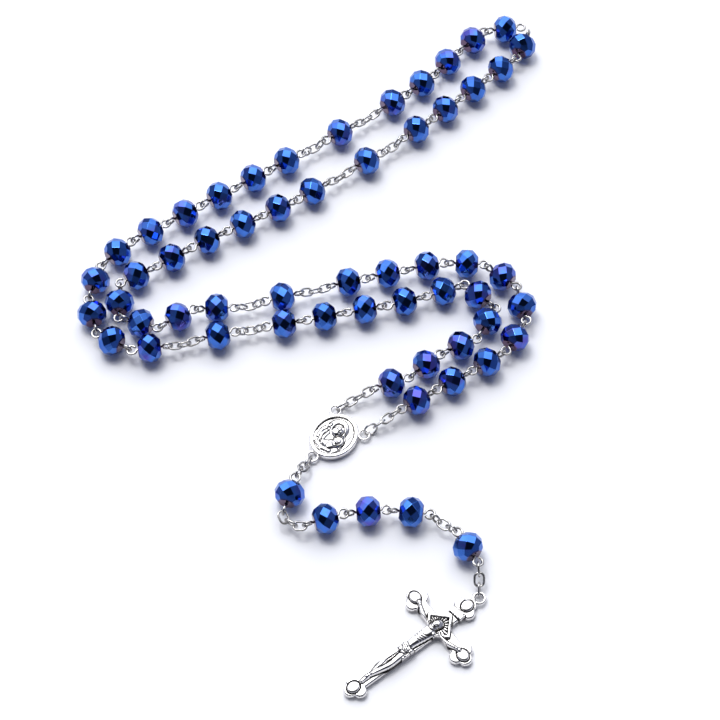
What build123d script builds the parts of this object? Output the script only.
"""A five-decade rosary of faceted glass beads, laid out flat on a table as a doubled strand.

Every bead turns on a wire eye pin, every pin and chain link is hooked to the next one with a little slack,
and the strands start and end at the three eyelets of the centre medal. Millimetres, +Z up, with the origin
at the middle of the medal's back, which lies on the table.
"""

from build123d import *
from math import asin, atan2, cos, hypot, pi, radians, sin, sqrt
import os

# ---------------------------------------------------------------- driving dimensions

# faceted glass rondelle beads
bead_diameter = 8.0
bead_length = 6.0
bead_bore = 1.0
bead_facets = 8  # facets in each row round the bead
crown_diameter = 6.3  # where the crown's corners lie
crown_length = 4.4
table_diameter = 4.2  # the small flat at each end, round the bore

# eye pins: a wire through the bead, turned into a closed loop at each end
pin_wire = 0.6
pin_loop_bore = 1.8
loop_clearance = 0.2  # from the bead's end face to the loop

# oval chain links
link_wire = 0.55
link_bore_length = 2.8
link_bore_width = 1.7

# the larger open jump ring at the medal
jump_wire = 0.5
jump_bore = 3.0
jump_opening = 0.15  # the cut where it was closed with pliers
jump_tilt = 110.0

# centre medal
medal_length = 13.6
medal_width = 11.8
medal_thickness = 2.2
medal_edge = 0.35  # rounding of the rim
rim_width = 0.9
field_depth = 0.35
relief_height = 0.55
eyelet_bore = 2.1
eyelet_wire = 0.65  # each eyelet is a round ring
upper_eyelets_along = 5.8  # from the medal's middle, towards the top
upper_eyelets_apart = 10.3
lower_eyelet_along = 7.9
medal_heading = 46.0  # its long axis on the table

# crucifix
crucifix_length = 40.0
crucifix_span = 24.0
crossing_from_top = 11.4
arm_width = 3.4
arm_thickness = 1.9
lobe_diameter = 3.4
lobe_spread = 1.5
plaque_side = 5.4
plaque_frame = 0.6
plaque_height = 0.5
bail_bore = 2.0
bail_wire = 0.8  # the bail is a round ring too
crucifix_heading = 217.0  # from the bail towards the foot

# how the chain lies
slack = 0.3  # free play at every hooked joint
sag = 0.8  # how far the short chains dip between two beads
floor_clearance = 0.05  # under the upright links that stand on the table
bail_lift = 0.8  # of the crucifix's bail over the table
jump_ring_height = 1.94  # of its middle over the table
open_gap = 3.2  # between the two loops at the far end that are not hooked
beads_in_decade = 10
bead_turns = (0, 13, 29, 7, 22, 4, 17, 33, 11, 26)  # how far each bead has rolled on its pin
ring_leans = (4, -7, 9, -3, -10, 6, 0, 8, -5)  # how far each loop or link leans from flat or upright
jump_link_lean = -25  # of the link that the jump ring hooks, over towards the tilted ring

# The route of the loop on the table, from the medal's left eyelet out along one strand, round the far end
# and back along the other strand to its right eyelet. The eyelets themselves are its first and last points.
loop_route = [
    (9, 12), (19.4, 15.8), (27.5, 22.8), (37, 27.2), (42.5, 36.5), (37, 45), (26.5, 41.2), (16, 38), (5.5, 36),
    (-5, 33.6), (-15.7, 31.5), (-24, 30), (-34.4, 27.6), (-40.2, 25.8), (-50.7, 23.3), (-61.3, 26.6),
    (-65.3, 37.2), (-64, 48.2), (-57, 56.4), (-38.5, 68.3), (-11, 86), (5, 96.7), (9.8, 100.1), (18.5, 106.5),
    (27, 113.6), (34, 121.9), (41.5, 130), (52.2, 132.4), (55.1, 129.6), (51.6, 120.8), (43, 113.3), (27, 99),
    (11.8, 86.6), (-11.1, 71), (-30.2, 60.6), (-39.8, 55.2), (-48.5, 49.3), (-58, 44), (-57.2, 34),
    (-47.3, 30), (-39.5, 36.5), (-29.5, 36.3), (-21.7, 38), (-11.3, 41), (4.8, 45.2), (26, 50.6),
    (37, 52), (47, 46.3), (51.5, 35.5), (46.1, 24.8), (36.4, 18.2), (26.9, 12.6), (17.7, 6.8), (13.5, 4.2),
]

# The pendant's route, from the medal's lower eyelet to the crucifix's bail, measured from the lower eyelet.
pendant_route = [
    (-6.5, -11.5), (-7.5, -17.5), (-6, -20.5), (-2, -21), (8.5, -17.5), (19.5, -16.5), (29.5, -17.5),
    (40, -25), (42, -32), (41.7, -48),
]
pendant_length = 85.0  # of the chain that the pendant's route was drawn for

# ---------------------------------------------------------------- sizes that follow

table_height = bead_diameter / 2  # of every pin's middle over the table
eyelet_height = medal_thickness / 2
bail_height = bail_wire / 2 + bail_lift
link_height = link_bore_width / 2 + link_wire + floor_clearance  # of an upright link that stands on the table
pin_reach = bead_length / 2 + loop_clearance + pin_wire + pin_loop_bore / 2  # from the bead's middle


class Ring:
    """The end of a pin, link or eyelet: how far its centre is from the piece's, its bore and its wire."""

    def __init__(self, reach, bore, wire):
        self.reach = reach
        self.bore = bore / 2
        self.wire = wire
        self.middle = (bore + wire) / 2


pin_ring = Ring(pin_reach, pin_loop_bore, pin_wire)
link_ring = Ring((link_bore_length - link_bore_width) / 2, link_bore_width, link_wire)
jump_ring_ring = Ring(0, jump_bore, jump_wire)
eyelet_ring = Ring(0, eyelet_bore, eyelet_wire)
bail_ring = Ring(0, bail_bore, bail_wire)


def hook(flat, upright, rise=0.0):
    """Level distance from a flat ring's centre to that of the upright ring hooked through it."""
    return flat.bore - upright.wire / 2 - slack + sqrt(upright.middle ** 2 - rise ** 2)


# ---------------------------------------------------------------- the chain, piece by piece


class Piece:
    """One pin or link of the chain. Beside a flat end, the neighbour's end stands upright."""

    def __init__(self, kind, ring, node, flat_in, flat_out, bead_node=None):
        self.kind = kind
        self.ring = ring
        self.node = node
        self.flat_in = flat_in
        self.flat_out = flat_out
        self.bead_node = bead_node
        self.pitch = 0.0


def add_link(chain, node, count):
    """Links keep one plane, so each stands across the piece before it."""
    for _ in range(count):
        flat = not chain[-1].flat_out if chain else False
        chain.append(Piece("link", link_ring, node, flat, flat))


def add_pin(chain, bead_node, pin_node, count=1, kind="pin"):
    """An eye pin has a quarter turn between its two loops, and the level one has none."""
    for _ in range(count):
        flat = not chain[-1].flat_out
        chain.append(Piece(kind, pin_ring, pin_node, flat, flat if kind == "level pin" else not flat, bead_node))


def add_decade(chain, number, groups):
    """A decade's beads in groups of (letter, count), each group a node of beads and one of pins."""
    for letter, count in groups:
        add_pin(chain, f"decade_{number}_beads_{letter}", f"decade_{number}_pins_{letter}", count)


def levers(chain, start, finish):
    """How much each piece of a run rises for a unit slope: a flat one carries the hooks at its ends too."""
    out = []
    for k in range(start, finish):
        piece = chain[k]
        lever = 2 * piece.ring.reach
        if piece.flat_in and k > 0:
            lever += hook(piece.ring, chain[k - 1].ring)
        if piece.flat_out and k + 1 < len(chain):
            lever += hook(piece.ring, chain[k + 1].ring)
        out.append(lever)
    return out


def slope(chain, start, finish, rise):
    """Gives a run of pieces one even slope."""
    for piece in chain[start:finish]:
        piece.pitch = asin(rise / sum(levers(chain, start, finish)))


def dip(chain, start):
    """Lets a short chain of three links hang between two beads."""
    first, _, last = levers(chain, start, start + 3)
    chain[start].pitch = -asin(sag / first)
    chain[start + 2].pitch = asin(sag / last)


def add_our_father(chain, number):
    """An Our Father bead of the loop, with a short chain on each side."""
    node = f"our_father_links_{number}"
    start = len(chain)
    add_link(chain, node, 3)
    add_pin(chain, f"our_father_bead_{number}", f"our_father_pin_{number}")
    add_link(chain, node, 3)
    return [start, start + 4]


thirds = (("a", 3), ("b", 4), ("c", 3))
loop_chain = []
add_link(loop_chain, "left_strand_links", 4)
add_decade(loop_chain, 1, thirds)
dips = add_our_father(loop_chain, 1)
add_decade(loop_chain, 2, thirds)
dips += add_our_father(loop_chain, 2)
add_decade(loop_chain, 3, (("a", 5),))
open_joint = len(loop_chain)  # the two loops here lie side by side and are not hooked
add_decade(loop_chain, 3, (("b", 5),))
dips += add_our_father(loop_chain, 3)
add_decade(loop_chain, 4, thirds)
dips += add_our_father(loop_chain, 4)
add_decade(loop_chain, 5, thirds)
add_link(loop_chain, "right_strand_links", 3)
loop_chain.append(Piece("jump", jump_ring_ring, "jump_ring", True, False))
for start in dips:
    dip(loop_chain, start)
slope(loop_chain, 0, 4, table_height - link_height)
slope(loop_chain, len(loop_chain) - 4, len(loop_chain), jump_ring_height - table_height)

pendant_chain = []
add_link(pendant_chain, "pendant_links_1", 3)
add_pin(pendant_chain, "our_father_bead_5", "our_father_pin_5")
add_link(pendant_chain, "pendant_links_2", 3)
for number in (1, 2, 3):
    add_pin(pendant_chain, f"pendant_bead_{number}", f"pendant_pin_{number}")
add_link(pendant_chain, "pendant_links_3", 3)
add_pin(pendant_chain, "our_father_bead_6", "our_father_pin_6", kind="level pin")
add_link(pendant_chain, "pendant_links_4", 3)
dip(pendant_chain, 4)
dip(pendant_chain, 10)
slope(pendant_chain, 0, 3, table_height - link_height)
slope(pendant_chain, len(pendant_chain) - 3, len(pendant_chain), link_height - table_height)

# ---------------------------------------------------------------- laying the chain along its route


def measure(chain, first_ring, first_rise, last_ring, last_rise, gap_at=None):
    """Gives each piece its step on the table, its middle's place in the step, and its height.

    A step runs between the centres of the flat rings, where the chain turns sideways. An upright
    piece's step includes the hooks at both its ends, whose slope is that of the flat neighbour.
    """
    height = None
    for k, piece in enumerate(chain):
        level = piece.ring.reach * cos(piece.pitch)
        climb = piece.ring.reach * sin(piece.pitch)
        before = chain[k - 1] if k else None
        after = chain[k + 1] if k + 1 < len(chain) else None
        if before is None:
            start = hook(first_ring, piece.ring, first_rise)
            height = first_ring.height + first_rise
        elif k == gap_at:
            start = 0.0
        elif piece.flat_in:
            start = 0.0
            height += hook(piece.ring, before.ring) * sin(piece.pitch)
        else:
            start = hook(before.ring, piece.ring) * cos(before.pitch)
            height += hook(before.ring, piece.ring) * sin(before.pitch)
        if after is None:
            finish = hook(last_ring, piece.ring, last_rise)
        elif piece.flat_out:
            finish = 0.0
        else:
            finish = hook(after.ring, piece.ring) * cos(after.pitch)
        piece.height = height + climb
        height += 2 * climb
        piece.middle = start + level
        piece.step = piece.middle + level + finish


def walk(steps, route):
    """Steps along a route of straight runs. Returns the points, and the distance left over."""
    runs = [(a, b, hypot(b[0] - a[0], b[1] - a[1])) for a, b in zip(route, route[1:])]

    def point_at(travel):
        for (ax, ay), (bx, by), length in runs:
            if travel <= length:
                break
            travel -= length
        else:
            travel += length
        share = travel / length
        return ax + (bx - ax) * share, ay + (by - ay) * share

    travel = 0.0
    points = [route[0]]
    for step in steps:
        here = points[-1]

        def short(distance):
            there = point_at(distance)
            return hypot(there[0] - here[0], there[1] - here[1]) < step

        near = far = travel + step / 2
        while short(far):
            near = far
            far += step / 16
        for _ in range(30):
            half = (near + far) / 2
            near, far = (half, far) if short(half) else (near, half)
        travel = far
        points.append(point_at(travel))
    return points, sum(length for _, _, length in runs) - travel


def fit_route(steps, start, points, finish):
    """Sizes a route about the medal so that the steps just reach its finish."""
    small, large = 0.5, 2.0
    for _ in range(40):
        size = (small + large) / 2
        route = [start] + [(x * size, y * size) for x, y in points] + [finish]
        pivots, left = walk(steps, route)
        small, large = (size, large) if left < 0 else (small, size)
    return pivots


def place(chain, pivots):
    """Stores each piece's middle, its heading on the table and the sideways pivots at its two ends."""
    for piece, a, b in zip(chain, pivots, pivots[1:]):
        piece.heading = atan2(b[1] - a[1], b[0] - a[0])
        piece.start = Vector(*a, 0)
        piece.finish = Vector(*b, 0)
        level = Vector(cos(piece.heading), sin(piece.heading), 0)
        piece.direction = level * cos(piece.pitch) + Vector(0, 0, sin(piece.pitch))
        piece.centre = piece.start + level * piece.middle + Vector(0, 0, piece.height)


def on_medal(along, across):
    """A point of the medal, from its own axes to the table's."""
    turn = radians(medal_heading)
    return along * cos(turn) - across * sin(turn), along * sin(turn) + across * cos(turn)


left_eyelet = on_medal(upper_eyelets_along, upper_eyelets_apart / 2)
right_eyelet = on_medal(upper_eyelets_along, -upper_eyelets_apart / 2)
lower_eyelet = on_medal(-lower_eyelet_along, 0)
eyelet_ring.height = eyelet_height
bail_ring.height = bail_height

link_rise = link_height - eyelet_height
jump_rise = jump_ring_height - eyelet_height
measure(loop_chain, eyelet_ring, link_rise, eyelet_ring, jump_rise, open_joint)
steps = [piece.step for piece in loop_chain]
steps.insert(open_joint, open_gap)
pivots = fit_route(steps, left_eyelet, loop_route, right_eyelet)
place(loop_chain[:open_joint], pivots[:open_joint + 1])
place(loop_chain[open_joint:], pivots[open_joint + 1:])

measure(pendant_chain, eyelet_ring, link_rise, bail_ring, link_height - bail_height)
steps = [piece.step for piece in pendant_chain]
growth = sum(steps) / pendant_length
hang = [(lower_eyelet[0] + x * growth, lower_eyelet[1] + y * growth) for x, y in pendant_route]
place(pendant_chain, walk(steps, [lower_eyelet] + hang)[0])
bail_centre = pendant_chain[-1].finish + Vector(0, 0, bail_height)


def piece_place(piece, lean):
    """Where a piece's own X axis follows the chain, and its flat way round is level."""
    across = Vector(-sin(piece.heading), cos(piece.heading), 0)
    frame = Plane(origin=piece.centre, x_dir=piece.direction, z_dir=piece.direction.cross(across))
    roll = lean if piece.flat_out else 90 + lean
    if piece.kind == "jump":
        roll = jump_tilt
    return Location(frame) * Location((0, 0, 0), (roll, 0, 0))


places = {}
for chain in (loop_chain, pendant_chain):
    for k, piece in enumerate(chain):
        lean = jump_link_lean if piece is loop_chain[-2] else ring_leans[k % len(ring_leans)]
        where = piece_place(piece, lean)
        places.setdefault(piece.node, []).append((piece.kind, where))
        if piece.bead_node:
            turned = where * Location((0, 0, 0), (bead_turns[k % len(bead_turns)], 0, 0))
            places.setdefault(piece.bead_node, []).append(("bead", turned))

# ---------------------------------------------------------------- one of each repeated piece


def facet_rows():
    """Each row of facets as its tilt towards the bead's end, its distance from the middle and its phase."""
    radius = bead_diameter / 2
    flat = cos(pi / bead_facets)  # from a corner's radius to the middle of the edge between two corners
    crown = (crown_length / 2, crown_diameter / 2)
    waist_edge = crown[0] * radius * (1 - flat ** 2) / (radius - crown[1])
    profile = [
        ((0, radius * flat), (waist_edge, radius * flat), 0.5),
        ((0, radius), crown, 0.0),
        ((waist_edge, radius * flat), (crown[0], crown[1] * flat), 0.5),
        ((crown[0], crown[1] * flat), (bead_length / 2, table_diameter / 2 * flat), 0.5),
    ]
    rows = []
    for (x0, r0), (x1, r1), phase in profile:
        tilt = atan2(r0 - r1, x1 - x0)
        rows.append((tilt, r0 * cos(tilt) + x0 * sin(tilt), phase))
    return rows


with BuildPart() as bead:
    Cylinder(bead_diameter / 2, bead_length, rotation=(0, 90, 0))
    for tilt, distance, phase in facet_rows():
        for side in (1, -1) if tilt > 0 else (1,):
            for k in range(bead_facets):
                turn = 2 * pi * (k + phase) / bead_facets
                out = Vector(side * sin(tilt), cos(tilt) * cos(turn), cos(tilt) * sin(turn))
                split(bisect_by=Plane(origin=out * distance, z_dir=out), keep=Keep.BOTTOM)
    Cylinder(bead_bore / 2, bead_length, rotation=(0, 90, 0), mode=Mode.SUBTRACT)

shank = 2 * (pin_reach - pin_ring.middle)

with BuildPart() as eye_pin:
    Cylinder(pin_wire / 2, shank, rotation=(0, 90, 0))
    with Locations((pin_reach, 0, 0)):
        Torus(pin_ring.middle, pin_wire / 2)
    with Locations((-pin_reach, 0, 0)):
        Torus(pin_ring.middle, pin_wire / 2, rotation=(90, 0, 0))

with BuildPart() as level_eye_pin:
    Cylinder(pin_wire / 2, shank, rotation=(0, 90, 0))
    with Locations((pin_reach, 0, 0), (-pin_reach, 0, 0)):
        Torus(pin_ring.middle, pin_wire / 2)

with BuildPart() as chain_link:
    reach, width = link_ring.reach, link_ring.middle
    with BuildLine() as oval:
        Line((-reach, width), (reach, width))
        ThreePointArc((reach, width), (reach + width, 0), (reach, -width))
        Line((reach, -width), (-reach, -width))
        ThreePointArc((-reach, -width), (-reach - width, 0), (-reach, width))
    with BuildSketch(Plane(origin=(0, width, 0), z_dir=(1, 0, 0))):
        Circle(link_wire / 2)
    sweep(path=oval.wire())

with BuildPart() as open_ring:
    Torus(jump_ring_ring.middle, jump_wire / 2)
    with Locations((0, jump_ring_ring.middle, 0)):
        Box(jump_opening, 2 * jump_wire, 2 * jump_wire, mode=Mode.SUBTRACT)

masters = {
    "bead": bead.part,
    "pin": eye_pin.part,
    "level pin": level_eye_pin.part,
    "link": chain_link.part,
    "jump": open_ring.part,
}

os.makedirs("parts", exist_ok=True)

for node, copies in places.items():
    with BuildPart() as group:
        for kind, place in copies:
            with Locations(place):
                add(masters[kind])
    group.part.label = node
    export_step(group.part, f"parts/{node}.step")

# ---------------------------------------------------------------- centre medal

medal_plane = Plane(origin=(0, 0, 0), x_dir=(*on_medal(1, 0), 0), z_dir=(0, 0, 1))
eyelets = [
    (upper_eyelets_along, upper_eyelets_apart / 2),
    (upper_eyelets_along, -upper_eyelets_apart / 2),
    (-lower_eyelet_along, 0),
]
field_level = medal_thickness - field_depth

with BuildPart() as medal:
    with BuildSketch(medal_plane):
        Ellipse(medal_length / 2, medal_width / 2)
    extrude(amount=medal_thickness)
    fillet(medal.edges(), medal_edge)
    with BuildSketch(medal_plane.offset(field_level)):
        Ellipse(medal_length / 2 - rim_width, medal_width / 2 - rim_width)
    extrude(amount=field_depth, mode=Mode.SUBTRACT)
    # the mother's veiled shoulders and head, and the child's head below hers
    with BuildSketch(medal_plane.offset(field_level)):
        with Locations((-1.2, 0)):
            Ellipse(medal_length / 2 - rim_width - 1.5, medal_width / 2 - rim_width - 0.9)
    extrude(amount=relief_height / 2)
    for along, across, size in ((2.1, 0.6, 2.3), (-0.4, -1.7, 1.6)):
        with BuildSketch(medal_plane.offset(field_level)):
            with Locations((along, across)):
                Circle(size)
        extrude(amount=relief_height, taper=30)
    # three round eyelets, half sunk in the rim
    with Locations(medal_plane.offset(eyelet_height)):
        with Locations(*((along, across) for along, across in eyelets)):
            Torus(eyelet_ring.middle, eyelet_wire / 2)
            Cylinder(eyelet_bore / 2, medal_thickness, mode=Mode.SUBTRACT)
    medal.part.label = "centre_medal"
export_step(medal.part, "parts/centre_medal.step")

# ---------------------------------------------------------------- crucifix

heading = radians(crucifix_heading)
down = Vector(cos(heading), sin(heading), 0)
bail_sink = bail_wire * 3 / 4  # how far the bail's wire goes into the upright
crossing = Vector(bail_centre.X, bail_centre.Y, 0) + down * (crossing_from_top + bail_bore / 2 + bail_wire - bail_sink)
cross_plane = Plane(origin=crossing, x_dir=down, z_dir=(0, 0, 1))
foot_end = crucifix_length - crossing_from_top
lobe = lobe_diameter / 2
ends = [
    (foot_end, 0, 0),
    (-crossing_from_top, 0, 180),
    (0, crucifix_span / 2, 90),
    (0, -crucifix_span / 2, -90),
]

with BuildPart() as crucifix:
    with BuildSketch(cross_plane):
        with Locations(((foot_end - crossing_from_top) / 2, 0)):
            Rectangle(crucifix_length - 2 * lobe, arm_width)
        Rectangle(arm_width, crucifix_span - 2 * lobe)
        # each arm ends in three round lobes
        for x, y, turn in ends:
            with Locations(Location((x, y, 0), (0, 0, turn))):
                with Locations((-lobe, 0), (-2 * lobe, lobe_spread), (-2 * lobe, -lobe_spread)):
                    Circle(lobe)
    extrude(amount=arm_thickness)
    # the square plaque, set cornerwise behind the head, and the scroll above it
    with BuildSketch(cross_plane.offset(arm_thickness)):
        Rectangle(plaque_side, plaque_side, rotation=45)
        Rectangle(plaque_side - 2 * plaque_frame, plaque_side - 2 * plaque_frame, rotation=45, mode=Mode.SUBTRACT)
        with Locations((-crossing_from_top + 2 * lobe_diameter - 1.2, 0)):
            Rectangle(1.6, arm_width)
    extrude(amount=plaque_height)
    # the figure: legs, trunk, arms and head in low relief
    with BuildSketch(cross_plane.offset(arm_thickness)):
        with BuildLine():
            Polyline(
                (1.6, -5.2), (2.6, -5.0), (4.2, -2.0), (9.5, -1.3), (12, -1.5), (21, -0.7),
                (21, 0.7), (12, 1.5), (9.5, 1.3), (4.2, 2.0), (2.6, 5.0), (1.6, 5.2), (2.2, 1.6), (2.2, -1.6),
                close=True,
            )
        make_face()
    extrude(amount=1.0, taper=15)
    with Locations(cross_plane * Location((0.9, 0, arm_thickness + 0.5))):
        Sphere(1.25)
    # the bail, a round ring sunk in the end of the upright
    with Locations(bail_centre):
        Torus(bail_ring.middle, bail_wire / 2)
    crucifix.part.label = "crucifix"
export_step(crucifix.part, "parts/crucifix.step")
